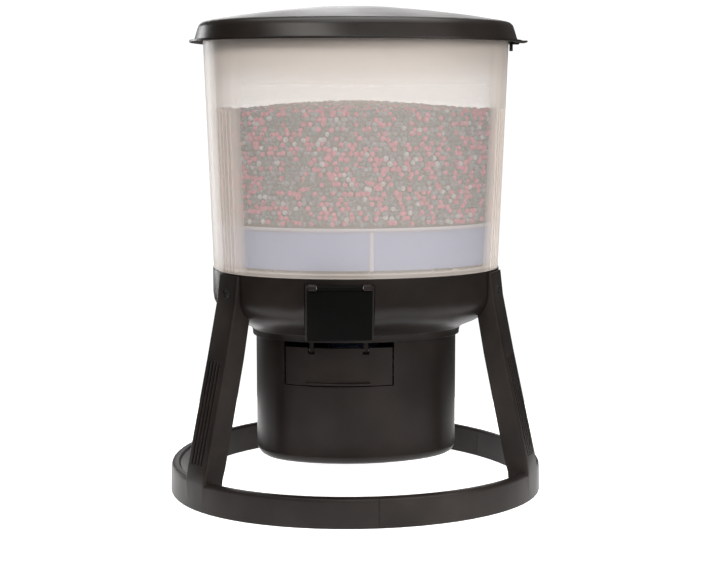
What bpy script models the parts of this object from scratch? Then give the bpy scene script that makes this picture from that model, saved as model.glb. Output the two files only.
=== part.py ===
"""Gravity-fed pellet feeder: lidded hopper, black bowl and drum housing, three-legged ring stand.

Lengths below are millimetres. Heights are measured from the ground and azimuths from the front
(-Y) towards +X. Every shell shares one rounded-triangle plan, swollen at 60, 180 and 300 degrees.
"""
import math

import bmesh
import bpy
from mathutils import Matrix, Vector

MM = 0.001
STEPS = 48
INNER_STEPS = 36
CORNERS = (-60.0, 60.0, 180.0)
FACES = (0.0, 120.0, 240.0)

SWELL = 7.0
RING_SWELL = 5.5
AXIS_Y = -RING_SWELL

RING_R = 192.0
RING_WALL = 10.0
RING_H = 29.5
LEG_W = 35.0
LEG_TOP_Z = 229.4
LEG_SCREW_Z = 212.0

DRUM_R = 103.0
DRUM_WALL = 3.0
DRUM_BOTTOM = 38.5
DRUM_TOP = 162.7
WINDOW_Z = 118.4

BOWL_R = 146.5
BOWL_BOTTOM = 163.0
BOWL_TOP = 230.7

HOPPER_BOTTOM = 231.0
HOPPER_TOP = 466.0
HOPPER_R0 = 145.6
HOPPER_R1 = 154.3
HOPPER_WALL = 2.5
FUNNEL_RIM_Z = 279.0
SKIRT_LOW_Z = 238.0
THROAT_R = 24.0
THROAT_TOP = 182.0
FEED_EDGE_Z = 388.0
FEED_PEAK_Z = 399.5

LID_Z = 457.2
LID_PEAK = 495.0
LATCH_AZ = 82.0

SHAFT_R = 3.0
DISC_R = 72.0
CELL_R = 16.6
CELL_ORBIT = 43.5
HATCH_R = 69.0

FLAP_AZ = -10.0
FLAP_MID = -10.5
FLAP_HALF = 53.2
FLAP_LOW = 119.4
FLAP_TOP = 157.0
FLAP_AXIS_Z = 154.0
FLAP_AXIS_W = 88.4

PANEL_AZ = -5.0
PANEL_TILT = 12.0
PANEL_X = -31.0
PANEL_Y = -135.5
PANEL_Z = 197.5

bpy.context.scene.unit_settings.system = "METRIC"
for old in list(bpy.data.objects):
    bpy.data.objects.remove(old, do_unlink=True)


# ---------------------------------------------------------------- materials
def material(name, rgb, roughness, metallic=0.0, alpha=1.0):
    mat = bpy.data.materials.new(name)
    mat.use_nodes = True
    shader = mat.node_tree.nodes["Principled BSDF"]
    shader.inputs["Base Color"].default_value = (*rgb, 1.0)
    shader.inputs["Roughness"].default_value = roughness
    shader.inputs["Metallic"].default_value = metallic
    shader.inputs["Alpha"].default_value = alpha
    mat.diffuse_color = (*rgb, alpha)
    return mat


def black_plastic(name):
    return material(name, (0.022, 0.020, 0.020), 0.42)


def steel(name):
    return material(name, (0.62, 0.62, 0.64), 0.32, 1.0)


# ---------------------------------------------------------------- shape helpers
def evaluated(obj):
    graph = bpy.context.evaluated_depsgraph_get()
    graph.update()
    return bpy.data.meshes.new_from_object(obj.evaluated_get(graph))


def solid(name, bm):
    bmesh.ops.remove_doubles(bm, verts=bm.verts, dist=1e-6)
    bmesh.ops.recalc_face_normals(bm, faces=bm.faces)
    mesh = bpy.data.meshes.new(name)
    bm.to_mesh(mesh)
    bm.free()
    obj = bpy.data.objects.new(name, mesh)
    bpy.context.scene.collection.objects.link(obj)
    return obj


def bake(obj):
    """Replace an object's mesh by its evaluated, cleaned and outward-facing mesh."""
    mesh = evaluated(obj)
    bm = bmesh.new()
    bm.from_mesh(mesh)
    bmesh.ops.remove_doubles(bm, verts=bm.verts, dist=2e-6)
    bmesh.ops.dissolve_degenerate(bm, edges=bm.edges, dist=1e-6)
    bmesh.ops.recalc_face_normals(bm, faces=bm.faces)
    bm.to_mesh(mesh)
    bm.free()
    obj.modifiers.clear()
    obj.data = mesh
    return obj


def swell_factor(radius):
    t = min(max((radius - 78.0) / 20.0, 0.0), 1.0)
    return t * t * (3.0 - 2.0 * t)


def plan_point(radius, azimuth, amount):
    """Point of the constant-wall rounded triangle whose mean radius is given."""
    a = math.radians(azimuth)
    phase = 3.0 * (a - math.radians(60.0))
    amp = amount * swell_factor(radius)
    reach = radius + amp * math.cos(phase)
    slip = -3.0 * amp * math.sin(phase)
    x = reach * math.sin(a) + slip * math.cos(a)
    y = -reach * math.cos(a) + slip * math.sin(a)
    return x, y


def turned(name, profile, amount=0.0, steps=STEPS, closed=True):
    """Spin an outline of (radius, height) pairs round Z and give it the triangle plan."""
    bm = bmesh.new()
    verts = [bm.verts.new((r * MM, 0.0, z * MM)) for r, z in profile]
    for a, b in zip(verts, verts[1:]):
        bm.edges.new((a, b))
    if closed:
        bm.edges.new((verts[-1], verts[0]))
    mesh = bpy.data.meshes.new(name)
    bm.to_mesh(mesh)
    bm.free()
    obj = bpy.data.objects.new(name, mesh)
    bpy.context.scene.collection.objects.link(obj)
    screw = obj.modifiers.new("spin", "SCREW")
    screw.axis = "Z"
    screw.steps = steps
    screw.render_steps = steps
    screw.use_merge_vertices = True
    screw.merge_threshold = 0.00001
    bake(obj)
    if amount:
        for v in obj.data.vertices:
            r = math.hypot(v.co.x, v.co.y) / MM
            if r > 0.01:
                az = math.degrees(math.atan2(v.co.x, -v.co.y))
                x, y = plan_point(r, az, amount)
                v.co.x = x * MM
                v.co.y = y * MM
    return obj


def frame_at(azimuth, across=0.0, out=0.0, up=0.0, tilt=0.0):
    """Local frame: +X along the wall, -Y outward, +Z up, leaned back by tilt."""
    turn = Matrix.Rotation(math.radians(azimuth), 4, "Z")
    shift = Matrix.Translation((across * MM, -out * MM, up * MM))
    return turn @ shift @ Matrix.Rotation(math.radians(tilt), 4, "X")


def wall_frame(radius, azimuth, up, tilt=0.0):
    """Frame on the rounded-triangle wall, its -Y along the wall's outward normal."""
    x, y = plan_point(radius, azimuth, SWELL)
    turn = Matrix.Rotation(math.radians(azimuth), 4, "Z")
    lean = Matrix.Rotation(math.radians(tilt), 4, "X")
    return Matrix.Translation((x * MM, y * MM, up * MM)) @ turn @ lean


WORLD = Matrix.Identity(4)


def block(name, across, out, up, frame=WORLD, bevel=0.0):
    """Box given by its (low, high) extents across, outward and up in a frame."""
    size = [(b - a) * MM for a, b in (across, out, up)]
    mid = [(a + b) / 2 * MM for a, b in (across, out, up)]
    place = Matrix.Translation((mid[0], -mid[1], mid[2])) @ Matrix.Diagonal((*size, 1.0))
    bm = bmesh.new()
    bmesh.ops.create_cube(bm, size=1.0, matrix=frame @ place)
    obj = solid(name, bm)
    if bevel:
        mod = obj.modifiers.new("edge", "BEVEL")
        mod.width = bevel * MM
        mod.segments = 2
        bake(obj)
    return obj


def rod(name, radius, start, end, frame=WORLD, sides=24):
    """Cylinder between two (across, out, up) points of a frame."""
    a = Vector((start[0], -start[1], start[2])) * MM
    b = Vector((end[0], -end[1], end[2])) * MM
    turn = (b - a).to_track_quat("Z", "X").to_matrix().to_4x4()
    place = Matrix.Translation((a + b) / 2) @ turn
    bm = bmesh.new()
    bmesh.ops.create_cone(bm, cap_ends=True, segments=sides, radius1=radius * MM,
                          radius2=radius * MM, depth=(b - a).length, matrix=frame @ place)
    return solid(name, bm)


def plate(name, outline, half, frame=WORLD):
    """Flat plate from an (out, up) outline, spread half each way across the frame."""
    curve = bpy.data.curves.new(name, "CURVE")
    curve.dimensions = "2D"
    curve.fill_mode = "BOTH"
    curve.extrude = half * MM
    spline = curve.splines.new("POLY")
    spline.points.add(len(outline) - 1)
    for point, (w, v) in zip(spline.points, outline):
        point.co = (w * MM, v * MM, 0.0, 1.0)
    spline.use_cyclic_u = True
    obj = bpy.data.objects.new(name, curve)
    bpy.context.scene.collection.objects.link(obj)
    mesh = evaluated(obj)
    bpy.data.objects.remove(obj, do_unlink=True)
    upright = Matrix(((0, 0, 1, 0), (-1, 0, 0, 0), (0, 1, 0, 0), (0, 0, 0, 1)))
    mesh.transform(frame @ upright)
    bm = bmesh.new()
    bm.from_mesh(mesh)
    bpy.data.meshes.remove(mesh)
    return solid(name, bm)


def combine(obj, tools, operation):
    for tool in tools:
        mod = obj.modifiers.new("bool", "BOOLEAN")
        mod.operation = operation
        mod.solver = "EXACT"
        mod.object = tool
        bake(obj)
        bpy.data.objects.remove(tool, do_unlink=True)
    return obj


def join(obj, *tools):
    return combine(obj, tools, "UNION")


def cut(obj, *tools):
    return combine(obj, tools, "DIFFERENCE")


def keep(obj, *tools):
    return combine(obj, tools, "INTERSECT")


def done(obj, mat, origin=(0.0, 0.0, 0.0), angle=32.0):
    """Name the material, shade, and move the origin to a point of the axis frame."""
    point = Vector(origin) * MM
    obj.data.transform(Matrix.Translation(-point))
    obj.location = point + Vector((0.0, AXIS_Y * MM, 0.0))
    obj.data.materials.clear()
    obj.data.materials.append(mat)
    obj.data.shade_smooth()
    obj.data.set_sharp_from_angle(angle=math.radians(angle))
    obj.data.name = obj.name
    return obj


def screw_solid(name, frame, head_r, head_h, shank_r, length):
    """Pan-head screw: head on the frame's outward side, slot across it, shank inward."""
    body = rod(name, head_r, (0, 0, 0), (0, head_h, 0), frame, 14)
    join(body, rod("shank", shank_r, (0, 0.2, 0), (0, -length, 0), frame, 12))
    slot = block("slot", (-head_r - 1, head_r + 1), (head_h * 0.55, head_h + 1), (-0.5, 0.5), frame)
    return cut(body, slot)


def hopper_radius(z):
    return HOPPER_R0 + (HOPPER_R1 - HOPPER_R0) * (z - HOPPER_BOTTOM) / (HOPPER_TOP - HOPPER_BOTTOM)


def cone_z(radius):
    """Height of the funnel's upper surface at a radius."""
    slope = (FUNNEL_RIM_Z - THROAT_TOP) / (143.0 - THROAT_R)
    return THROAT_TOP + (radius - THROAT_R) * slope


# ---------------------------------------------------------------- housing shells
BOWL_OUTSIDE = [(BOWL_R, BOWL_TOP), (BOWL_R, 207.0), (145.4, 199.0), (141.8, 191.4), (135.2, 184.6),
                (124.0, 178.2), (111.0, 172.6), (107.2, 169.6), (106.6, 166.2), (106.4, BOWL_BOTTOM)]


def drum_shell():
    r, t = DRUM_R, DRUM_WALL
    b = DRUM_BOTTOM
    outside = [(r, DRUM_TOP), (r, b + 9.5), (r - 0.8, b + 5.8), (r - 2.9, b + 2.7), (r - 6.1, b + 0.7),
               (r - 9.5, b), (HATCH_R + 0.5, b)]
    ledge = [(HATCH_R + 0.5, b + 2.9), (63.0, b + 2.9), (63.0, b + 5.9), (76.0, b + 5.9), (76.0, b + t)]
    inside = [(r - 9.5, b + t), (r - 5.6, b + 4.6), (r - t, b + 9.5), (r - t, DRUM_TOP)]
    drum = turned("drum_housing", outside + ledge + inside, SWELL)
    for az in FACES:
        frame = frame_at(az)
        join(drum, rod("pillar", 5.5, (0, 80, b + 1), (0, 80, 72.0), frame, 12))
        join(drum, rod("pillar", 4.0, (0, 80, 71), (0, 80, 107.7), frame, 12))
        cut(drum, rod("hole", 1.7, (0, 80, 94), (0, 80, 120), frame, 10))
    for az in CORNERS:
        frame = frame_at(az)
        join(drum, rod("boss", 4.6, (0, 104, 70), (0, 104, DRUM_TOP), frame, 12))
        cut(drum, rod("hole", 1.7, (0, 104, 148), (0, 104, 170), frame, 10))
    for az in (-60.0, 120.0):
        frame = frame_at(az)
        cut(drum, rod("hole", 1.7, (0, 66.3, 36), (0, 66.3, 60), frame, 10))
    across = (FLAP_MID - FLAP_HALF - 1.3, FLAP_MID + FLAP_HALF + 1.3)
    cut(drum, block("window", across, (60, 130), (WINDOW_Z, 175), frame_at(FLAP_AZ)))
    return drum


def bowl_shell():
    inside = [(104.0, 166.0), (108.5, 174.8), (122.8, 181.0), (133.2, 187.0), (139.0, 193.2), (142.4, 200.0),
              (143.5, 207.0), (143.5, 227.7), (132.0, 227.7), (132.0, BOWL_TOP)]
    floor = [(34.0, BOWL_BOTTOM), (34.0, 166.0)]
    bowl = turned("bowl_housing", BOWL_OUTSIDE + floor + inside, SWELL)
    cut(bowl, block("opening", (-33.4, 33.4), (-26, 14), (-27.4, 27.4), panel_frame()))
    for az in CORNERS:
        frame = frame_at(az, 0, 0, LEG_SCREW_Z)
        join(bowl, rod("boss", 6.0, (0, 141.5, 0), (0, 151.5, 0), frame, 12))
        cut(bowl, rod("hole", 2.06, (0, 130, 0), (0, 165, 0), frame, 12))
        cut(bowl, rod("hole", 1.85, (0, 104, 155), (0, 104, 180), frame_at(az), 10))
    for az in (30.0, 150.0, 270.0):
        frame = wall_frame(138.0, az, 0.0)
        join(bowl, rod("boss", 4.4, (0, 0.6, 216), (0, 0.6, 229), frame, 12))
        cut(bowl, rod("hole", 1.7, (0, 0, 218), (0, 0, 240), frame, 10))
    ears = []
    for side in (-1, 1):
        span = sorted((FLAP_MID + side * 24.7, FLAP_MID + side * 29.2))
        frame = frame_at(FLAP_AZ)
        ear = block("ear", span, (FLAP_AXIS_W - 3, FLAP_AXIS_W + 2), (FLAP_AXIS_Z - 2.6, 164.5), frame)
        ears.append(ear)
    join(bowl, *ears)
    pin = rod("hole", 1.26, (FLAP_MID - 40, FLAP_AXIS_W, FLAP_AXIS_Z),
              (FLAP_MID + 40, FLAP_AXIS_W, FLAP_AXIS_Z), frame_at(FLAP_AZ), 16)
    return cut(bowl, pin)


def panel_frame():
    turn = Matrix.Rotation(math.radians(PANEL_AZ), 4, "Z")
    lean = Matrix.Rotation(math.radians(PANEL_TILT), 4, "X")
    spot = Matrix.Translation((PANEL_X * MM, PANEL_Y * MM, PANEL_Z * MM))
    return spot @ turn @ lean


drum = done(drum_shell(), black_plastic("drum_housing"))
bowl = done(bowl_shell(), black_plastic("bowl_housing"))


# ---------------------------------------------------------------- hopper and what it holds
def hopper_shell():
    t = HOPPER_WALL
    z0, z1 = HOPPER_BOTTOM, HOPPER_TOP
    outside = [(HOPPER_R1, z1), (hopper_radius(390), 390), (hopper_radius(310), 310), (HOPPER_R0, z0)]
    inside = [(133.0, z0), (133.0, z0 + 3), (HOPPER_R0 - t, z0 + 3), (hopper_radius(310) - t, 310),
              (hopper_radius(390) - t, 390), (hopper_radius(455) - t, 455), (HOPPER_R1 - 4.2, 459),
              (HOPPER_R1 - 4.2, z1)]
    hopper = turned("hopper", outside + inside, SWELL)
    lean = math.degrees(math.atan2(HOPPER_R1 - HOPPER_R0, z1 - z0))
    for corner in CORNERS:
        for step in (-2, -1, 0, 1, 2):
            az = corner + step * 3.6
            frame = wall_frame(hopper_radius(312.0), az, 312.0, lean)
            join(hopper, block("flute", (-0.9, 0.9), (-1.6, 1.1), (-79.0, 79.0), frame))
    for az in (30.0, 150.0, 270.0):
        frame = wall_frame(138.0, az, 0.0)
        cut(hopper, rod("hole", 1.75, (0, 0, 225), (0, 0, 240), frame, 10))
    return hopper


def funnel_shell():
    lower = 2.4
    drop = lower + 0.7
    top = [(144.0, FUNNEL_RIM_Z), (142.0, cone_z(142.0)), (95.0, cone_z(95.0)), (70.0, cone_z(70.0)),
           (45.0, cone_z(45.0)), (THROAT_R, THROAT_TOP), (THROAT_R, 141.0)]
    under = [(THROAT_R + lower, 141.0), (THROAT_R + lower, THROAT_TOP - 1.4), (45.0, cone_z(45.0) - drop),
             (70.0, cone_z(70.0) - drop), (95.0, cone_z(95.0) - drop), (137.4, cone_z(137.4) - drop)]
    skirt = [(139.4, 266.0), (139.4, SKIRT_LOW_Z), (141.0, SKIRT_LOW_Z), (141.2, 276.2), (144.0, 276.6)]
    funnel = turned("feed_funnel", top + under + skirt, SWELL, INNER_STEPS)
    for az in FACES:
        outline = [(135.4, SKIRT_LOW_Z), (135.4, 275.0), (124.0, 266.8), (30.0, 185.3), (30.0, 176.0),
                   (62.0, 201.0), (122.0, SKIRT_LOW_Z)]
        join(funnel, plate("rib", outline, 1.3, frame_at(az)))
    return funnel


def feed_heap():
    gap = 0.9
    side = [(hopper_radius(z) - HOPPER_WALL - gap, z) for z in (FEED_EDGE_Z, 335.0, 284.0)]
    cone = [(r, cone_z(r) + gap) for r in (141.5, 95.0, 70.0)]
    crown = [(0.0, FEED_PEAK_Z), (55.0, 398.2), (110.0, 394.0)]
    outline = crown + side + cone + [(66.0, 217.4), (0.0, 217.4)]
    return turned("feed_pellets", outline, SWELL, INNER_STEPS, False)


clear = material("hopper", (0.90, 0.88, 0.85), 0.30, 0.0, 0.35)
hopper = done(hopper_shell(), clear)
funnel = done(funnel_shell(), material("feed_funnel", (0.82, 0.84, 0.90), 0.35, 0.0, 0.6))
done(feed_heap(), material("feed_pellets", (0.45, 0.30, 0.31), 0.8))


# ---------------------------------------------------------------- lid
def lid_shell():
    skirt = [(167.6, LID_Z), (167.6, LID_Z + 2.0), (162.8, LID_Z + 2.0), (159.2, 470.8), (157.8, 474.2),
             (155.2, 476.6), (150.5, 478.0)]
    crown = [(120.0, 483.2), (85.0, 488.4), (45.0, 492.8), (0.0, LID_PEAK)]
    under = [(0.0, LID_PEAK - 2.4), (45.0, 490.4), (85.0, 486.0), (120.0, 480.8), (150.0, 475.7),
             (155.0, 473.4), (160.4, LID_Z)]
    profile = list(reversed(crown)) + list(reversed(skirt)) + list(reversed(under))
    lid = turned("lid", profile, SWELL, closed=False)
    frame = wall_frame(154.6, LATCH_AZ, 0.0)
    tab = block("tab", (-14, 14), (8.6, 17.6), (LID_Z, LID_Z + 2.0), frame, 0.7)
    bridge = block("bridge", (-5, 5), (0.9, 10.0), (LID_Z - 1.6, LID_Z + 1.2), frame)
    hook = block("hook", (-5, 5), (0.9, 3.6), (LID_Z - 8.2, LID_Z), frame)
    return join(lid, tab, bridge, hook)


lid = done(lid_shell(), black_plastic("lid"))
seal_ring = [(154.0, 466.3), (154.0, 472.8), (150.2, 474.6), (150.2, 466.3)]
seal_foam = material("lid_seal", (0.05, 0.05, 0.05), 0.85)
done(turned("lid_seal", seal_ring, SWELL, INNER_STEPS), seal_foam)


# ---------------------------------------------------------------- outlet flap
def flap_leaf():
    shell = [(DRUM_R, FLAP_TOP), (DRUM_R, FLAP_LOW), (DRUM_R - DRUM_WALL, FLAP_LOW),
             (DRUM_R - DRUM_WALL, FLAP_TOP)]
    leaf = turned("outlet_flap", shell, SWELL, 90)
    frame = frame_at(FLAP_AZ, FLAP_MID)
    keep(leaf, block("bounds", (-FLAP_HALF, FLAP_HALF), (60, 130), (100, 170), frame))
    lip_ring = [(106.6, FLAP_LOW + 2.4), (106.6, FLAP_LOW + 0.8), (101.6, FLAP_LOW), (101.6, FLAP_LOW + 4.2)]
    lip = turned("lip", lip_ring, SWELL, 90)
    keep(lip, block("bounds", (-31.5, 31.5), (60, 130), (100, 170), frame))
    for side in (-1, 1):
        span = sorted((side * 23.9, side * 30.2))
        cut(leaf, block("notch", span, (60, 130), (FLAP_AXIS_Z - 3.4, 175), frame))
    barrel = rod("barrel", 2.8, (-24, FLAP_AXIS_W, FLAP_AXIS_Z), (24, FLAP_AXIS_W, FLAP_AXIS_Z), frame, 20)
    web_out = (FLAP_AXIS_W, FLAP_AXIS_W + 6.5)
    web = block("web", (-23.6, 23.6), web_out, (FLAP_AXIS_Z - 2.5, FLAP_AXIS_Z + 1.5), frame)
    join(leaf, lip, web, barrel)
    pin = rod("hole", 1.26, (-40, FLAP_AXIS_W, FLAP_AXIS_Z), (40, FLAP_AXIS_W, FLAP_AXIS_Z), frame, 20)
    return cut(leaf, pin)


flap_turn = frame_at(FLAP_AZ, FLAP_MID)
flap_axis = flap_turn @ Vector((0.0, -FLAP_AXIS_W * MM, FLAP_AXIS_Z * MM)) / MM
done(flap_leaf(), black_plastic("outlet_flap"), flap_axis)
flap_pin = rod("flap_hinge_pin", 1.2, (-29.6, FLAP_AXIS_W, FLAP_AXIS_Z), (29.6, FLAP_AXIS_W, FLAP_AXIS_Z),
               flap_turn, 20)
done(flap_pin, steel("flap_hinge_pin"), flap_axis)


# ---------------------------------------------------------------- dispenser drive
def spreader():
    dish = [(3.06, 118.0), (3.06, 134.0), (8.5, 134.0), (9.5, 124.4), (DISC_R - 6, 124.0), (DISC_R, 125.2),
            (DISC_R, 122.8), (DISC_R - 6, 121.6), (9.5, 121.6), (8.5, 118.0)]
    disc = turned("spreader_disc", dish, 0.0, 30)
    for az in range(0, 360, 60):
        frame = frame_at(az)
        join(disc, block("vane", (-1.0, 1.0), (7.0, DISC_R - 4.0), (122.6, 132.0), frame))
    return disc


def agitator():
    hub_outline = [(3.06, 188.0), (3.06, 212.0), (6.0, 212.0), (8.0, 207.0), (8.0, 188.0)]
    hub = turned("agitator", hub_outline, 0.0, 20)
    for az in (20.0, 200.0):
        join(hub, rod("arm", 1.9, (0, 6.0, 198.0), (0, 38.0, 208.0), frame_at(az), 12))
    for az in (110.0, 290.0):
        join(hub, rod("arm", 1.9, (0, 6.0, 191.5), (0, 26.0, 198.5), frame_at(az), 12))
    return hub


disc = done(spreader(), material("spreader_disc", (0.75, 0.75, 0.72), 0.45))
done(agitator(), material("agitator", (0.75, 0.75, 0.72), 0.45))
done(rod("drive_shaft", SHAFT_R, (0, 0, 100.5), (0, 0, 215.5), WORLD, 24), steel("drive_shaft"))

can = [(0.0, 50.0), (17.6, 50.0), (18.5, 51.0), (18.5, 90.0), (21.5, 90.0), (21.5, 107.6), (6.0, 107.6),
       (6.0, 111.2), (3.06, 111.2), (3.06, 99.0), (0.0, 99.0)]
done(turned("gear_motor", can, 0.0, 24, False), steel("gear_motor"))


def chassis():
    outline = [(91.0, 111.0), (91.0, 108.0), (6.6, 108.0), (6.6, 111.0)]
    deck = turned("chassis_plate", outline, 0.0, 32)
    for az in FACES:
        cut(deck, rod("hole", 1.75, (0, 80, 100), (0, 80, 120), frame_at(az), 16))
        screw_frame = frame_at(az, 0, 80, 111.2) @ Matrix.Rotation(math.radians(-90), 4, "X")
        name = "chassis_screw_%d" % int(az)
        done(screw_solid(name, screw_frame, 3.0, 2.2, 1.5, 14.0), steel(name))
    return deck


deck = done(chassis(), black_plastic("chassis_plate"))


def cradle():
    outline = [(86.0, 75.4), (86.0, 72.4), (19.2, 72.4), (19.2, 75.4)]
    ring = turned("battery_cradle", outline, 0.0, 28)
    for az in FACES:
        cut(ring, rod("hole", 4.5, (0, 80, 60), (0, 80, 90), frame_at(az), 14))
    for az in (45, 135, 225, 315):
        cut(ring, rod("hole", CELL_R + 0.7, (0, CELL_ORBIT, 60), (0, CELL_ORBIT, 90), frame_at(az), 14))
    return ring


done(cradle(), black_plastic("battery_cradle"))

cell = [(0.0, 46.2), (CELL_R, 46.2), (CELL_R, 104.6), (15.4, 105.6), (5.2, 105.6), (5.2, 107.4),
        (0.0, 107.4)]
for az in (45, 135, 225, 315):
    battery = turned("battery_cell_%d" % az, cell, 0.0, 18, False)
    x, y, _ = frame_at(az) @ Vector((0.0, -CELL_ORBIT * MM, 0.0)) / MM
    battery.data.transform(Matrix.Translation((x * MM, y * MM, 0.0)))
    done(battery, material("battery_cell_%d" % az, (0.08, 0.09, 0.12), 0.3, 0.4), (x, y, 46.2))

contact = [(61.4, 45.9), (61.4, 42.0), (20.0, 42.0), (20.0, 45.9)]
done(turned("contact_plate", contact, 0.0, 28), material("contact_plate", (0.16, 0.32, 0.16), 0.5))


def hatch():
    b = DRUM_BOTTOM
    outline = [(0.0, b + 2.6), (HATCH_R, b + 2.6), (HATCH_R, b + 0.6), (HATCH_R - 1, b), (0.0, b)]
    lid_plate = turned("battery_hatch", outline, 0.0, 36, False)
    for az in (-60.0, 120.0):
        frame = frame_at(az, 0, 66.3, b + 0.9) @ Matrix.Rotation(math.radians(90), 4, "X")
        cut(lid_plate, rod("hole", 1.75, (0, -10, 0), (0, 10, 0), frame, 16))
        cut(lid_plate, rod("seat", 2.5, (0, -0.15, 0), (0, 10, 0), frame, 20))
        name = "hatch_screw_%d" % int(az % 360)
        done(screw_solid(name, frame, 2.3, 0.85, 1.5, 7.4), steel(name))
    return lid_plate


done(hatch(), black_plastic("battery_hatch"))


# ---------------------------------------------------------------- control panel
POD = panel_frame()
COVER_AXIS = (27.4, 2.9)


def bezel():
    frame_box = block("control_bezel", (-33, 33), (-24, 0), (-27, 27), POD, 0.8)
    cut(frame_box, block("hollow", (-30.6, 30.6), (-40, -2.4), (-24.6, 24.6), POD))
    cut(frame_box, block("view", (-19, 19), (-5, 3), (-1, 17), POD))
    for u in (-18.0, 0.0, 18.0):
        cut(frame_box, rod("hole", 4.25, (u, -10, -14), (u, 10, -14), POD, 16))
    for side in (-1, 1):
        span = sorted((side * 22.4, side * 30.0))
        join(frame_box, block("ear", span, (-1.5, 5.2), (24.8, 29.6), POD, 0.5))
    pin = rod("hole", 1.26, (-40, COVER_AXIS[1], COVER_AXIS[0]), (40, COVER_AXIS[1], COVER_AXIS[0]), POD, 20)
    return cut(frame_box, pin)


def window_cover():
    leaf = block("window_cover", (-31.2, 31.2), (0.5, 3.1), (-26.4, 23.6), POD, 0.7)
    w, v = COVER_AXIS[1], COVER_AXIS[0]
    barrel = rod("barrel", 2.3, (-22, w, v), (22, w, v), POD, 20)
    neck = block("neck", (-21.6, 21.6), (1.0, 2.9), (21.6, 26.4), POD)
    nub = rod("nub", 1.1, (-9.5, 2.0, 8.5), (-9.5, 3.6, 8.5), POD, 16)
    join(leaf, neck, barrel, nub)
    pin = rod("hole", 1.26, (-40, COVER_AXIS[1], COVER_AXIS[0]), (40, COVER_AXIS[1], COVER_AXIS[0]), POD, 20)
    return cut(leaf, pin)


def pod_point(across, out, up):
    return POD @ (Vector((across, -out, up)) * MM) / MM


cover_axis = pod_point(0, COVER_AXIS[1], COVER_AXIS[0])
done(bezel(), black_plastic("control_bezel"))
done(window_cover(), material("window_cover", (0.012, 0.012, 0.013), 0.18), cover_axis)
cover_pin = rod("cover_hinge_pin", 1.2, (-29.8, COVER_AXIS[1], COVER_AXIS[0]),
                (29.8, COVER_AXIS[1], COVER_AXIS[0]), POD, 20)
done(cover_pin, steel("cover_hinge_pin"), cover_axis)

screen = block("display_module", (-22, 22), (-7.4, -2.8), (-3.4, 19.4), POD)
join(screen, block("glass", (-18.4, 18.4), (-3.2, -1.0), (-0.5, 16.5), POD))
done(screen, material("display_module", (0.20, 0.24, 0.18), 0.2), pod_point(0, -4, 8))
board = block("control_board", (-29, 29), (-12.6, -11.0), (-23, 23), POD)
chip = block("chip", (-8, 8), (-16.0, -12.4), (-6, 6), POD)
done(join(board, chip), material("control_board", (0.03, 0.17, 0.06), 0.5), pod_point(0, -12, 0))
for label, u in (("set", -18.0), ("down", 0.0), ("up", 18.0)):
    key = rod("button_" + label, 4.0, (u, -6.0, -14), (u, 0.2, -14), POD, 16)
    join(key, rod("foot", 5.4, (u, -6.8, -14), (u, -3.2, -14), POD, 16))
    done(key, material("button_" + label, (0.30, 0.30, 0.31), 0.5), pod_point(u, 0, -14))


# ---------------------------------------------------------------- stand
def leg_body(azimuth):
    """Leaning leg lofted through rounded rectangles, grooved outside, cut to hug the bowl."""
    half = LEG_W / 2
    stations = [(2.0, 178.0, 196.6, half), (30.0, 175.0, 196.6, half), (42.0, 171.5, 194.4, half),
                (148.0, 148.6, 170.2, half), (205.0, 138.0, 158.4, half - 0.6),
                (LEG_TOP_Z, 138.0, 155.6, half - 1.0)]
    bm = bmesh.new()
    rings = []
    for z, r_in, r_out, w in stations:
        c = 3.0
        outline = [(-w, r_in), (-w, r_out - c), (-w + c * 0.3, r_out - c * 0.3), (-w + c, r_out),
                   (w - c, r_out), (w - c * 0.3, r_out - c * 0.3), (w, r_out - c), (w, r_in)]
        rings.append([bm.verts.new((u * MM, -r * MM, z * MM)) for u, r in outline])
    for low, high in zip(rings, rings[1:]):
        for i in range(len(low)):
            j = (i + 1) % len(low)
            bm.faces.new((low[i], low[j], high[j], high[i]))
    bm.faces.new(rings[0])
    bm.faces.new(list(reversed(rings[-1])))
    leg = solid("leg", bm)
    lean = -math.degrees(math.atan2(194.4 - 170.2, 148.0 - 42.0))
    for u in (-8.4, -2.8, 2.8, 8.4):
        groove = frame_at(0, u, 170.2, 148.0, lean)
        cut(leg, block("groove", (-1.3, 1.3), (-1.3, 8), (-106.0, -3.0), groove))
    leg.data.transform(frame_at(azimuth))
    return leg


def ring_arc(azimuth):
    """A third of the floor ring with the leg at its middle."""
    r, t, h = RING_R, RING_WALL, RING_H
    outline = [(r, 0.8), (r - 0.4, h - 4.0), (r - 1.5, h - 1.3), (r - 4.0, h), (r - t + 2.0, h),
               (r - t, h - 2.0), (r - t, 0.0), (r - 0.8, 0.0)]
    arc = turned("arc", outline, RING_SWELL, 72)
    bm = bmesh.new()
    bm.from_mesh(arc.data)
    for side in (-1, 1):
        edge = math.radians(azimuth + side * 60.0)
        inward = Vector((math.cos(edge), math.sin(edge), 0.0)) * side
        out = bmesh.ops.bisect_plane(bm, geom=bm.verts[:] + bm.edges[:] + bm.faces[:], dist=1e-7,
                                     plane_co=inward * -0.00015, plane_no=inward, clear_outer=True)
        edges = [e for e in out["geom_cut"] if isinstance(e, bmesh.types.BMEdge)]
        bmesh.ops.edgeloop_fill(bm, edges=edges)
    bmesh.ops.recalc_face_normals(bm, faces=bm.faces)
    bm.to_mesh(arc.data)
    bm.free()
    return arc


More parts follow.
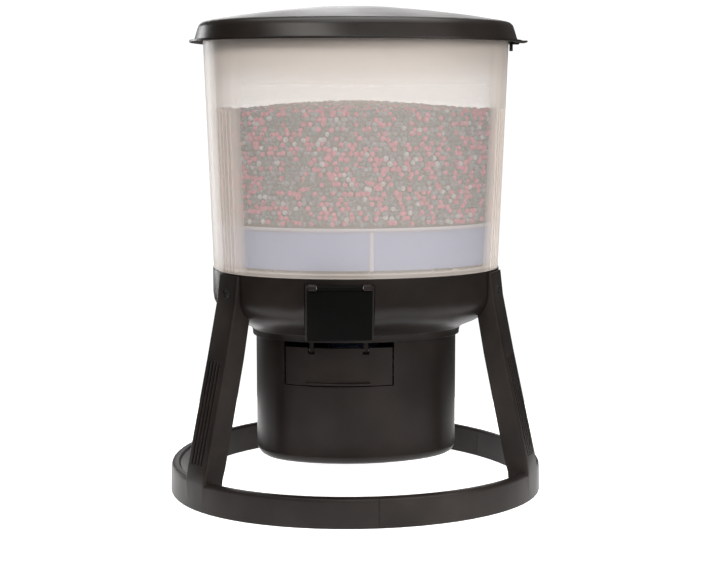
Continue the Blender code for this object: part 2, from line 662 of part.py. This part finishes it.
def stand_segment(index, azimuth):
    segment = ring_arc(azimuth)
    segment.name = "stand_segment_%d" % index
    join(segment, leg_body(azimuth))
    gap = 0.4
    hug = [(r + gap, z) for r, z in BOWL_OUTSIDE]
    hug = [(0.0, 250.0), (BOWL_R + gap, 250.0)] + hug + [(0.0, BOWL_BOTTOM)]
    cut(segment, turned("hug", hug, SWELL, closed=False))
    frame = frame_at(azimuth, 0, 0, LEG_SCREW_Z)
    cut(segment, rod("hole", 2.3, (0, 140, 0), (0, 175, 0), frame, 20))
    cut(segment, rod("seat", 4.7, (0, 155.2, 0), (0, 175, 0), frame, 24))
    for side in (-1, 1):
        joint = azimuth + side * 60.0
        centre = RING_R - RING_SWELL - RING_WALL / 2
        bore = rod("bore", 3.05, (-12.6, centre, 14.0), (12.6, centre, 14.0), frame_at(joint), 20)
        cut(segment, bore)
    return segment


for index, corner in enumerate(CORNERS):
    segment = stand_segment(index, corner)
    foot = frame_at(corner) @ Vector((0.0, -RING_R * MM, 0.0)) / MM
    done(segment, black_plastic("stand_segment_%d" % index), foot)
    frame = frame_at(corner, 0, 155.4, LEG_SCREW_Z)
    name = "leg_screw_%d" % index
    done(screw_solid(name, frame, 4.2, 1.6, 2.0, 12.1), steel(name))
    frame = frame_at(corner, 0, 104, 166.3) @ Matrix.Rotation(math.radians(-90), 4, "X")
    name = "housing_screw_%d" % index
    done(screw_solid(name, frame, 2.9, 2.0, 1.5, 14.0), steel(name))

for index, az in enumerate(FACES):
    centre = RING_R - RING_SWELL - RING_WALL / 2
    name = "ring_joint_pin_%d" % index
    pin = rod(name, 3.0, (-12.2, centre, 14.0), (12.2, centre, 14.0), frame_at(az), 20)
    done(pin, steel(name))

for index, az in enumerate((30.0, 150.0, 270.0)):
    frame = wall_frame(138.0, az, 234.3) @ Matrix.Rotation(math.radians(-90), 4, "X")
    name = "hopper_screw_%d" % index
    done(screw_solid(name, frame, 2.9, 2.0, 1.5, 12.0), steel(name))
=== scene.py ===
"""Looks for the gravity-fed pellet feeder.

Moulded plastics, a translucent hopper, loose feed, and the stage, camera and light.
"""
import math

import bmesh
import bpy
import numpy as np
from mathutils import Matrix, Vector


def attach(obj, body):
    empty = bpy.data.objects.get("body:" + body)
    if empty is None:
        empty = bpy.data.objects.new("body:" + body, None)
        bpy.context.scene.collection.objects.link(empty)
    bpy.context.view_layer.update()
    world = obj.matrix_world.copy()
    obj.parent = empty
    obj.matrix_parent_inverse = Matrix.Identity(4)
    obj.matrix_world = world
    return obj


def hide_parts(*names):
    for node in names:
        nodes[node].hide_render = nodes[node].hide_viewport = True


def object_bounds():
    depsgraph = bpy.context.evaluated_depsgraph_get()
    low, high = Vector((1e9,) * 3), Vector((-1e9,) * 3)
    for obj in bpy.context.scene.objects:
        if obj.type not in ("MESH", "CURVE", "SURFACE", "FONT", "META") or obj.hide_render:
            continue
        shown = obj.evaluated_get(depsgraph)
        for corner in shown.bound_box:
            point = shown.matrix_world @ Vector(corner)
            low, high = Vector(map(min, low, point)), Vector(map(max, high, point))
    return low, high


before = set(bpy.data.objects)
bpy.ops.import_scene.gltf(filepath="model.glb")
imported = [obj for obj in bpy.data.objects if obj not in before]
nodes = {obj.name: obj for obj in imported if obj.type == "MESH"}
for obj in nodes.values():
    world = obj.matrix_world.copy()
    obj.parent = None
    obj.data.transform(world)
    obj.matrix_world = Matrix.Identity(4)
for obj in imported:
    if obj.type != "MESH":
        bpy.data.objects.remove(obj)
cad_low, cad_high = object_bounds()

# ---------------------------------------------------------------- sizes, in metres
AXIS_Y = -0.0055                # the feeder's vertical axis, a little in front of the ring's centre
SWELL = 0.007                   # how far the plan swells at its three corners
CORNER = math.radians(60.0)     # azimuth from the front of the first of them
SWELL_START = 0.078             # radius from which the plan swells
SWELL_RUN = 0.020               # and the width over which the swell grows to its full size
HOPPER_INNER_LOW = 0.1431       # the hopper's inner radius at its foot
HOPPER_INNER_SLOPE = 0.0087 / 0.235     # and its growth with height
HOPPER_LOW_Z = 0.231

FEED_LOW_Z = 0.2835             # lowest row of pellets at the wall
FEED_EDGE_Z = 0.3878            # top of the feed at the wall
FEED_PEAK_Z = 0.3992            # and at the axis
HEAP_R = 0.147                  # radius at which the heap's dome ends
PELLET_R = 0.0028
PELLET_SHARES = (0.37, 0.37, 0.20, 0.06)    # red, green, grey and pale pellets
WALL_PITCH = 1.93 * PELLET_R    # spacing of the pellets along a row at the wall
ROW_STEP = 0.87                 # height from row to row, as a share of that spacing
WALL_GAP = 0.0012               # between the wall and the outer pellets
TOP_PITCH = 2.0 * PELLET_R      # spacing of the pellets along a ring on the heap's top
RING_STEP = 0.9                 # distance from ring to ring, as a share of that spacing
BEHIND = 0.0042                 # how far the second layer lies behind the first at the wall
BEHIND_LIFT = 0.002             # and how much higher its lowest row is
BELOW = 0.0038                  # how far the second layer lies below the first on the top
CORE_GAP = 0.0055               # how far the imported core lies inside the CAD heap's surface
CORE_FOOT_GAP = 0.0003          # and the same inside the funnel
CORE_FOOT_Z = 0.275             # height below which the heap fills the funnel

FEED_HAZE = (0.390, 0.402)      # heights over which the hopper turns milkier above the feed
BRIM_HAZE_AND_SHADE = (0.415, 0.457)      # and again towards the lid, where the colour is also darkened as painted shade from the lid
HEEL_HAZE = (0.2355, 0.2375)    # and over which it clears above its milky foot
FRONT_HAZE = (0.0, 0.02)        # distances ahead of the axis over which the front's haze sets in
RIB_HAZE = (0.88, 0.95)         # corner cosines over which the fluted corners turn milky
LIP_EDGE = (0.2745, 0.2755)     # heights over which the funnel's pale lip starts
RIB_LINE = (-0.9996, -0.9984)   # corner cosines over which a face's rib line fades

VIEW_TURN = 7.6                 # degrees the object's front is turned to the camera's right
CAMERA_SIDE = 0.0033
CAMERA_BACK = 1.572
CAMERA_Z = 0.4058
CAMERA_PITCH = 7.17             # degrees below the horizon
LENS = 76.6                     # millimetres
FLOOR_R = 0.46
FLOOR_GAP = 0.0002              # how far the floor lies below the ring's underside
FLOOR_GLOW = 0.90
STUDIO_GLOW = 0.15
BACKDROP_GLOW = 1.05
BACKDROP_R = 9.0
SEED = 41                       # of the random draws that lay the pellets


# ---------------------------------------------------------------- material building blocks
def new_material(name):
    mat = bpy.data.materials.new(name)
    mat.use_nodes = True
    tree = mat.node_tree
    shader = tree.nodes["Principled BSDF"]
    return mat, tree, shader


def coordinates(tree, stretch=(1.0, 1.0, 1.0)):
    """Object coordinates in metres, optionally stretched along an axis."""
    source = tree.nodes.new("ShaderNodeTexCoord")
    mapping = tree.nodes.new("ShaderNodeMapping")
    mapping.inputs["Scale"].default_value = stretch
    tree.links.new(source.outputs["Object"], mapping.inputs["Vector"])
    return mapping.outputs["Vector"]


def noise(tree, scale, detail=3.0, stretch=(1.0, 1.0, 1.0)):
    node = tree.nodes.new("ShaderNodeTexNoise")
    node.inputs["Scale"].default_value = scale
    node.inputs["Detail"].default_value = detail
    tree.links.new(coordinates(tree, stretch), node.inputs["Vector"])
    return node.outputs["Fac"]


def spread(tree, value, low, high, start=0.3, end=0.7):
    """Maps a value between two limits to a range and holds it at the range's ends."""
    node = tree.nodes.new("ShaderNodeMapRange")
    node.inputs["From Min"].default_value = start
    node.inputs["From Max"].default_value = end
    node.inputs["To Min"].default_value = low
    node.inputs["To Max"].default_value = high
    tree.links.new(value, node.inputs["Value"])
    return node.outputs["Result"]


def tint(tree, factor, first, second):
    """Mixes two colours; the first may also be another node's output."""
    node = tree.nodes.new("ShaderNodeMix")
    node.data_type = "RGBA"
    node.inputs["B"].default_value = (*second, 1.0)
    if isinstance(first, tuple):
        node.inputs["A"].default_value = (*first, 1.0)
    else:
        tree.links.new(first, node.inputs["A"])
    tree.links.new(factor, node.inputs["Factor"])
    return node.outputs["Result"]


def relief(tree, shader, height, strength, distance, round_edges=0.0):
    """Fine surface relief, with shading rounded over sharp edges where a radius is given."""
    node = tree.nodes.new("ShaderNodeBump")
    node.inputs["Strength"].default_value = strength
    node.inputs["Distance"].default_value = distance
    tree.links.new(height, node.inputs["Height"])
    if round_edges:
        bevel = tree.nodes.new("ShaderNodeBevel")
        bevel.samples = 4
        bevel.inputs["Radius"].default_value = round_edges
        tree.links.new(bevel.outputs["Normal"], node.inputs["Normal"])
    tree.links.new(node.outputs["Normal"], shader.inputs["Normal"])


def moulded(name, colour, dusty, roughness, grain=1500.0, bump=0.25, shine=0.3, edge=0.0008):
    """Injection-moulded plastic: fine spark-eroded grain, flow marks, dust and rubbed patches."""
    mat, tree, shader = new_material(name)
    clouds = noise(tree, 14.0, 5.0)
    flow = noise(tree, 9.0, 4.0, (1.0, 1.0, 0.15))
    dust = spread(tree, clouds, 0.0, 1.0, 0.42, 0.75)
    tree.links.new(tint(tree, dust, colour, dusty), shader.inputs["Base Color"])
    rough = spread(tree, flow, roughness - 0.06, roughness + 0.09)
    tree.links.new(rough, shader.inputs["Roughness"])
    relief(tree, shader, noise(tree, grain, 2.0), bump, 0.00012, edge)
    shader.inputs["Specular IOR Level"].default_value = shine
    return mat


def metal(name, colour, roughness):
    """Brushed and slightly uneven plated metal."""
    mat, tree, shader = new_material(name)
    brushed = noise(tree, 420.0, 3.0, (1.0, 1.0, 0.2))
    darker = tuple(c * 0.72 for c in colour)
    tree.links.new(tint(tree, brushed, darker, colour), shader.inputs["Base Color"])
    tree.links.new(spread(tree, brushed, roughness - 0.08, roughness + 0.12), shader.inputs["Roughness"])
    relief(tree, shader, brushed, 0.12, 0.00008)
    shader.inputs["Metallic"].default_value = 1.0
    return mat


def math_node(tree, operation, first, second=None):
    """One arithmetic step on numbers or node outputs."""
    node = tree.nodes.new("ShaderNodeMath")
    node.operation = operation
    for socket, value in zip(node.inputs, (first, second)):
        if isinstance(value, (int, float)):
            socket.default_value = value
        elif value is not None:
            tree.links.new(value, socket)
    return node.outputs[0]


def place_on_plan(tree):
    """Height, distance ahead of the axis, and a cosine: 1 at the plan's corners, -1 amid its faces."""
    place = tree.nodes.new("ShaderNodeSeparateXYZ")
    tree.links.new(coordinates(tree), place.inputs["Vector"])
    behind = math_node(tree, "SUBTRACT", place.outputs["Y"], AXIS_Y)
    ahead = math_node(tree, "MULTIPLY", behind, -1.0)
    azimuth = math_node(tree, "ARCTAN2", place.outputs["X"], ahead)
    lobes = math_node(tree, "COSINE", math_node(tree, "MULTIPLY", azimuth, 3.0))
    return place.outputs["Z"], ahead, math_node(tree, "MULTIPLY", lobes, -1.0)


def add_cover(tree, cover, mask, amount):
    """Raises an opacity towards 1 where a mask is set."""
    left = math_node(tree, "SUBTRACT", 1.0, cover)
    gain = math_node(tree, "MULTIPLY", math_node(tree, "MULTIPLY", mask, amount), left)
    return math_node(tree, "ADD", cover, gain)


def clouded(name, colour, cloudy, alpha, edge_alpha, roughness):
    """Translucent moulded plastic, denser where it is seen edge-on, with faint flow lines."""
    mat, tree, shader = new_material(name)
    flow = noise(tree, 16.0, 4.0, (1.0, 1.0, 0.12))
    tree.links.new(spread(tree, flow, roughness - 0.05, roughness + 0.1), shader.inputs["Roughness"])
    rim = tree.nodes.new("ShaderNodeLayerWeight")
    rim.inputs["Blend"].default_value = 0.5
    cover = spread(tree, rim.outputs["Facing"], alpha, edge_alpha, 0.50, 0.95)
    relief(tree, shader, noise(tree, 700.0, 2.0), 0.18, 0.0001)
    shader.inputs["IOR"].default_value = 1.49
    return mat, tree, shader, tint(tree, flow, colour, cloudy), cover


def hopper_material():
    """Clear in the middle, milkier at the fluted front corners, under the lid and at the foot, and darkened
    under the lid by painted shade.
    """
    made = clouded("hopper_clear", (0.93, 0.845, 0.785), (0.97, 0.90, 0.85), 0.19, 0.80, 0.32)
    mat, tree, shader, base, cover = made
    height, ahead, corner = place_on_plan(tree)
    front = spread(tree, ahead, 0.0, 1.0, *FRONT_HAZE)
    ribs = math_node(tree, "MULTIPLY", spread(tree, corner, 0.0, 1.0, *RIB_HAZE), front)
    upper = spread(tree, height, 0.0, 1.0, *FEED_HAZE)
    brim_haze_and_shade = spread(tree, height, 0.0, 1.0, *BRIM_HAZE_AND_SHADE)
    heel = spread(tree, height, 1.0, 0.0, *HEEL_HAZE)
    for mask, amount in ((ribs, 0.20), (upper, 0.10), (brim_haze_and_shade, 0.50), (heel, 0.12)):
        cover = add_cover(tree, cover, mask, amount)
    # painted shade: the hopper's colour darkens towards the lid, standing for the lid's shadow
    shaded = math_node(tree, "MULTIPLY", brim_haze_and_shade, 0.50)
    tree.links.new(tint(tree, shaded, base, (0.56, 0.49, 0.44)), shader.inputs["Base Color"])
    tree.links.new(cover, shader.inputs["Alpha"])
    return mat


def funnel_material():
    """Bluish milky plastic with a pale moulded lip and a pale rib line at the middle of each face."""
    made = clouded("funnel_clear", (0.17, 0.235, 0.42), (0.23, 0.30, 0.47), 0.90, 0.97, 0.4)
    mat, tree, shader, base, cover = made
    height, _, corner = place_on_plan(tree)
    lip = spread(tree, height, 0.0, 1.0, *LIP_EDGE)
    line = spread(tree, corner, 1.0, 0.0, *RIB_LINE)
    pale = math_node(tree, "MAXIMUM", lip, line)
    tree.links.new(tint(tree, pale, base, (0.44, 0.45, 0.52)), shader.inputs["Base Color"])
    tree.links.new(cover, shader.inputs["Alpha"])
    return mat


def pellet_material(name, colour, pale):
    """Dry extruded feed: blotchy, matt, with a grainy skin."""
    mat, tree, shader = new_material(name)
    blotch = noise(tree, 210.0, 3.0)
    patches = spread(tree, blotch, 0.0, 1.0, 0.35, 0.72)
    tree.links.new(tint(tree, patches, colour, pale), shader.inputs["Base Color"])
    tree.links.new(spread(tree, blotch, 0.55, 0.8), shader.inputs["Roughness"])
    relief(tree, shader, noise(tree, 2400.0, 3.0), 0.5, 0.00025)
    return mat


BLACK = (0.0085, 0.0060, 0.0052)
DUST = (0.019, 0.0145, 0.013)
DEEP_BLACK = (0.0035, 0.0036, 0.0034)
housing_black = moulded("housing_black", BLACK, DUST, 0.34, shine=0.22)
stand_black = moulded("stand_black", BLACK, (0.022, 0.017, 0.015), 0.38, shine=0.20)
lid_black = moulded("lid_black", BLACK, DUST, 0.30, 1100.0, 0.15, shine=0.26)
window_black = moulded("window_black", DEEP_BLACK, (0.005, 0.005, 0.0045), 0.30, 800.0, 0.05, 0.02)
screw_black = moulded("screw_black", (0.010, 0.010, 0.010), (0.03, 0.03, 0.03), 0.42, 900.0, 0.1, 0.4)
key_grey = moulded("key_grey", (0.16, 0.16, 0.17), (0.24, 0.24, 0.24), 0.6, 2200.0, 0.3)
inner_grey = moulded("inner_grey", (0.42, 0.42, 0.40), (0.55, 0.54, 0.50), 0.45)
circuit_green = moulded("circuit_green", (0.012, 0.09, 0.03), (0.02, 0.14, 0.05), 0.4, 900.0, 0.2)
display_grey = moulded("display_grey", (0.16, 0.19, 0.13), (0.22, 0.25, 0.17), 0.14, 3000.0, 0.03)
foam_black = moulded("foam_black", (0.02, 0.02, 0.02), (0.05, 0.05, 0.05), 0.9, 2600.0, 0.9)
cell_blue = moulded("cell_blue", (0.03, 0.035, 0.06), (0.06, 0.07, 0.10), 0.28, 700.0, 0.1)
zinc = metal("zinc", (0.62, 0.61, 0.58), 0.34)
hopper_clear = hopper_material()
funnel_clear = funnel_material()

FINISH = {
    "bowl_housing": housing_black, "drum_housing": housing_black, "outlet_flap": housing_black,
    "lid": lid_black, "lid_seal": foam_black, "hopper": hopper_clear, "feed_funnel": funnel_clear,
    "window_cover": window_black, "control_bezel": housing_black, "control_board": circuit_green,
    "display_module": display_grey, "spreader_disc": inner_grey, "agitator": inner_grey,
    "chassis_plate": housing_black, "battery_cradle": housing_black, "battery_hatch": housing_black,
    "contact_plate": circuit_green,
}
BY_START = {
    "stand_segment": stand_black, "leg_screw": screw_black, "button_": key_grey, "battery_cell": cell_blue,
    "feed_pellets": inner_grey,
}


def finish_for(name):
    """The material of a node: by its name, by how its name starts, or else plated steel."""
    if name in FINISH:
        return FINISH[name]
    for start, mat in BY_START.items():
        if name.startswith(start):
            return mat
    return zinc


def smooth(obj, angle=30.0):
    """Round faces shaded smooth and real edges kept, by modifiers on an untouched mesh."""
    mesh = obj.data
    for layer in ("custom_normal", "sharp_edge", "sharp_face"):
        if layer in mesh.attributes:
            mesh.attributes.remove(mesh.attributes[layer])
    mesh.polygons.foreach_set("use_smooth", np.ones(len(mesh.polygons), dtype=bool))
    weld = obj.modifiers.new("weld", "WELD")
    weld.merge_threshold = 2e-6
    split = obj.modifiers.new("split", "EDGE_SPLIT")
    split.split_angle = math.radians(angle)
    split.use_edge_sharp = False
    even = obj.modifiers.new("even", "WEIGHTED_NORMAL")
    even.keep_sharp = True


for name, obj in nodes.items():
    obj.data.materials.clear()
    obj.data.materials.append(finish_for(name))
    smooth(obj)


# ---------------------------------------------------------------- feed
def plan_point(radius, azimuth):
    """Point of the feeder's rounded-triangle plan, azimuth in radians from the front."""
    phase = 3.0 * (azimuth - CORNER)
    fade = min(max((radius - SWELL_START) / SWELL_RUN, 0.0), 1.0)
    amount = SWELL * fade * fade * (3.0 - 2.0 * fade)
    reach = radius + amount * math.cos(phase)
    slip = -3.0 * amount * math.sin(phase)
    x = reach * math.sin(azimuth) + slip * math.cos(azimuth)
    y = -reach * math.cos(azimuth) + slip * math.sin(azimuth)
    return x, y + AXIS_Y


def wall_radius(z):
    """The hopper's inner radius at a height."""
    return HOPPER_INNER_LOW + (z - HOPPER_LOW_Z) * HOPPER_INNER_SLOPE


def heap_height(radius):
    """Height of the feed's gently domed top."""
    t = min(radius / HEAP_R, 1.0)
    return FEED_PEAK_Z + (FEED_EDGE_Z - FEED_PEAK_Z) * t ** 1.5


def even_azimuths(radius, count, offset):
    """Azimuths that space points evenly along the rounded plan, whose corners bend more tightly."""
    fine = np.linspace(0.0, 2 * math.pi, 721)
    bend_radius = radius - 8 * SWELL * np.cos(3.0 * (fine - CORNER))
    along = np.concatenate(([0.0], np.cumsum((bend_radius[1:] + bend_radius[:-1]) / 2)))
    return np.interp((np.arange(count) + offset) / count * along[-1], along, fine)


def wall_spots(rng, depth, low):
    """Staggered pellet places against the hopper wall, one layer at a depth behind it."""
    spots = []
    row = 0
    z = low
    while z < FEED_EDGE_Z + 0.002:
        radius = wall_radius(z) - PELLET_R - WALL_GAP - depth
        count = int(2 * math.pi * radius / WALL_PITCH)
        for azimuth in even_azimuths(radius, count, 0.25 + 0.5 * (row % 2)):
            jitter = rng.uniform(-0.24, 0.24) * 2 * math.pi / count
            x, y = plan_point(radius - abs(rng.normal(0.0, 0.0006)), azimuth + jitter)
            spots.append((x, y, z + rng.uniform(-0.0010, 0.0010)))
        z += WALL_PITCH * ROW_STEP
        row += 1
    return spots


def top_spots(rng, sink):
    """Pellets lying on the heap's top, ring by ring."""
    limit = wall_radius(FEED_EDGE_Z) - 2.2 * PELLET_R
    spots = []
    radius = TOP_PITCH
    while radius < limit:
        count = int(2 * math.pi * radius / TOP_PITCH)
        offset = rng.uniform(0.0, 1.0)
        for i in range(count):
            azimuth = 2 * math.pi * (i + offset + rng.uniform(-0.2, 0.2)) / count
            x, y = plan_point(radius + rng.uniform(-0.0008, 0.0008), azimuth)
            spots.append((x, y, heap_height(radius) - PELLET_R - sink + rng.uniform(-0.0014, 0.0016)))
        radius += TOP_PITCH * RING_STEP
    return spots


def unit_pellet():
    """A slightly flattened low-poly ball."""
    bm = bmesh.new()
    bmesh.ops.create_uvsphere(bm, u_segments=8, v_segments=5, radius=1.0)
    bmesh.ops.triangulate(bm, faces=bm.faces)
    verts = np.array([v.co[:] for v in bm.verts])
    faces = np.array([[v.index for v in f.verts] for f in bm.faces])
    bm.free()
    return verts, faces


def random_turns(rng, count):
    """Unit quaternions as rotation matrices."""
    q = rng.normal(size=(count, 4))
    q /= np.linalg.norm(q, axis=1)[:, None]
    w, x, y, z = q.T
    rows = [1 - 2 * (y * y + z * z), 2 * (x * y - z * w), 2 * (x * z + y * w),
            2 * (x * y + z * w), 1 - 2 * (x * x + z * z), 2 * (y * z - x * w),
            2 * (x * z - y * w), 2 * (y * z + x * w), 1 - 2 * (x * x + y * y)]
    return np.stack(rows, axis=1).reshape(count, 3, 3)


def pellet_cloud(name, spots, mat, rng):
    """One object holding a pellet of varied size, shape and turn at every spot."""
    verts, faces = unit_pellet()
    count = len(spots)
    size = PELLET_R * rng.uniform(0.9, 1.06, size=(count, 1, 1))
    squash = np.stack([np.ones(count), np.ones(count), rng.uniform(0.82, 1.0, count)], axis=1)[:, None, :]
    local = np.einsum("nij,nkj->nki", random_turns(rng, count), verts[None] * squash) * size
    points = (local + np.array(spots)[:, None, :]).reshape(-1, 3)
    tris = (faces[None] + (np.arange(count) * len(verts))[:, None, None]).reshape(-1, 3)
    mesh = bpy.data.meshes.new(name)
    mesh.vertices.add(len(points))
    mesh.vertices.foreach_set("co", points.ravel())
    mesh.loops.add(tris.size)
    mesh.loops.foreach_set("vertex_index", tris.ravel())
    mesh.polygons.add(len(tris))
    mesh.polygons.foreach_set("loop_start", np.arange(0, tris.size, 3))
    mesh.polygons.foreach_set("use_smooth", np.ones(len(tris), dtype=bool))
    mesh.update(calc_edges=True)
    mesh.materials.append(mat)
    obj = bpy.data.objects.new(name, mesh)
    bpy.context.scene.collection.objects.link(obj)
    return obj


def feed_core_painted_shade(mat):
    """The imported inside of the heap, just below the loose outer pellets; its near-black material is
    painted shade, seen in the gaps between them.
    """
    source = nodes["feed_pellets"]
    core = bpy.data.objects.new("feed_core_painted_shade", source.data.copy())
    bpy.context.scene.collection.objects.link(core)
    core.matrix_world = source.matrix_world.copy()
    bm = bmesh.new()
    bm.from_mesh(core.data)
    bmesh.ops.remove_doubles(bm, verts=bm.verts, dist=1e-5)
    bmesh.ops.recalc_face_normals(bm, faces=bm.faces)
    bm.normal_update()
    for v in bm.verts:
        v.co -= v.normal * (CORE_GAP if v.co.z > CORE_FOOT_Z else CORE_FOOT_GAP)
    bm.to_mesh(core.data)
    bm.free()
    core.data.materials.clear()
    core.data.materials.append(mat)
    return core


rng = np.random.default_rng(SEED)
places = wall_spots(rng, 0.0, FEED_LOW_Z) + wall_spots(rng, BEHIND, FEED_LOW_Z + BEHIND_LIFT)
places += top_spots(rng, 0.0) + top_spots(rng, BELOW)
kinds = rng.choice(4, size=len(places), p=PELLET_SHARES)
feeds = [("pellets_red", (0.35, 0.030, 0.095), (0.55, 0.13, 0.24)),
         ("pellets_green", (0.014, 0.038, 0.048), (0.050, 0.105, 0.125)),
         ("pellets_grey", (0.075, 0.095, 0.125), (0.18, 0.215, 0.26)),
         ("pellets_pale", (0.25, 0.27, 0.30), (0.41, 0.43, 0.45))]
# the core's near-black colour is painted shade for the dark gaps between the loose pellets
core = feed_core_painted_shade(pellet_material("feed_core_painted_shade", (0.02, 0.02, 0.022), (0.07, 0.03, 0.04)))
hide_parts("feed_pellets")
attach(core, "housing")
for kind, (name, colour, pale) in enumerate(feeds):
    chosen = [spot for spot, k in zip(places, kinds) if k == kind]
    cloud = pellet_cloud(name, chosen, pellet_material(name, colour, pale), rng)
    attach(cloud, "housing")


# ---------------------------------------------------------------- stage, camera, light
def stage_floor():
    """A round white table top, lit a little from inside so that it reads as white paper."""
    bm = bmesh.new()
    bmesh.ops.create_circle(bm, cap_ends=True, radius=FLOOR_R, segments=96)
    mesh = bpy.data.meshes.new("floor")
    bm.to_mesh(mesh)
    bm.free()
    floor = bpy.data.objects.new("floor", mesh)
    bpy.context.scene.collection.objects.link(floor)
    floor.location.z = min(cad_low.z, 0.0) - FLOOR_GAP
    mat, tree, shader = new_material("floor_white")
    speckle = noise(tree, 30.0, 2.0)
    tree.links.new(tint(tree, speckle, (0.80, 0.80, 0.80), (0.84, 0.84, 0.84)), shader.inputs["Base Color"])
    shader.inputs["Roughness"].default_value = 0.9
    shader.inputs["Specular IOR Level"].default_value = 0.0
    shader.inputs["Emission Color"].default_value = (1.0, 1.0, 1.0, 1.0)
    shader.inputs["Emission Strength"].default_value = FLOOR_GLOW
    mesh.materials.append(mat)


def area_light(name, place, target, size, power, colour=(1.0, 1.0, 1.0)):
    data = bpy.data.lights.new(name, "AREA")
    data.shape = "RECTANGLE"
    data.size = size[0]
    data.size_y = size[1]
    data.energy = power
    data.color = colour
    light = bpy.data.objects.new(name, data)
    bpy.context.scene.collection.objects.link(light)
    light.location = place
    light.rotation_euler = (Vector(target) - Vector(place)).to_track_quat("-Z", "Y").to_euler()
    return light


def studio_world(strength):
    """Dim, slightly warm room light from all round."""
    world = bpy.data.worlds.new("studio")
    world.use_nodes = True
    back = world.node_tree.nodes["Background"]
    back.inputs["Color"].default_value = (1.0, 0.98, 0.95, 1.0)
    back.inputs["Strength"].default_value = strength
    bpy.context.scene.world = world


def white_surround():
    """A plain white backdrop all round the set; it is seen, but throws no light."""
    bm = bmesh.new()
    bmesh.ops.create_icosphere(bm, subdivisions=4, radius=BACKDROP_R)
    mesh = bpy.data.meshes.new("backdrop")
    bm.to_mesh(mesh)
    bm.free()
    backdrop = bpy.data.objects.new("backdrop", mesh)
    bpy.context.scene.collection.objects.link(backdrop)
    mat, tree, shader = new_material("backdrop_white")
    shader.inputs["Base Color"].default_value = (0.0, 0.0, 0.0, 1.0)
    shader.inputs["Emission Color"].default_value = (1.0, 1.0, 1.0, 1.0)
    shader.inputs["Emission Strength"].default_value = BACKDROP_GLOW
    mesh.materials.append(mat)
    backdrop.visible_diffuse = False
    backdrop.visible_glossy = False
    backdrop.visible_transmission = False
    backdrop.visible_shadow = False


def photo_camera():
    """The camera at about the hopper's height, a little to the left of the object's front."""
    data = bpy.data.cameras.new("camera")
    data.sensor_width = 36.0
    data.lens = LENS
    data.clip_start = 0.05
    data.clip_end = 50.0
    camera = bpy.data.objects.new("camera", data)
    bpy.context.scene.collection.objects.link(camera)
    turn = Matrix.Rotation(math.radians(-VIEW_TURN), 4, "Z")
    spot = turn @ Vector((CAMERA_SIDE, -CAMERA_BACK, CAMERA_Z))
    camera.location = spot + Vector((0.0, AXIS_Y, 0.0))
    camera.rotation_euler = (math.radians(90.0 - CAMERA_PITCH), 0.0, math.radians(-VIEW_TURN))
    bpy.context.scene.camera = camera


stage_floor()
white_surround()
photo_camera()
studio_world(STUDIO_GLOW)
WARM = (1.0, 0.97, 0.93)
WARMER = (1.0, 0.96, 0.91)
area_light("overhead", (0.1, -0.2, 2.4), (0.0, 0.0, 0.2), (2.4, 2.4), 70.0)
area_light("front_fill", (0.2, -3.0, 1.5), (0.0, 0.0, 0.35), (2.6, 1.6), 43.0, WARM)
area_light("front_left", (-1.05, -1.55, 1.65), (0.0, 0.0, 0.40), (1.1, 0.6), 20.0, WARMER)
area_light("front_right", (1.5, -1.7, 0.9), (0.0, 0.0, 0.35), (1.2, 1.2), 15.0, WARM)
area_light("back_left", (-0.95, 1.45, 0.45), (0.0, 0.0, 0.25), (0.5, 0.9), 6.5)
area_light("back_high", (0.2, 2.3, 1.15), (0.0, 0.0, 0.45), (1.5, 0.9), 8.5)
bpy.context.scene.view_settings.view_transform = "Standard"
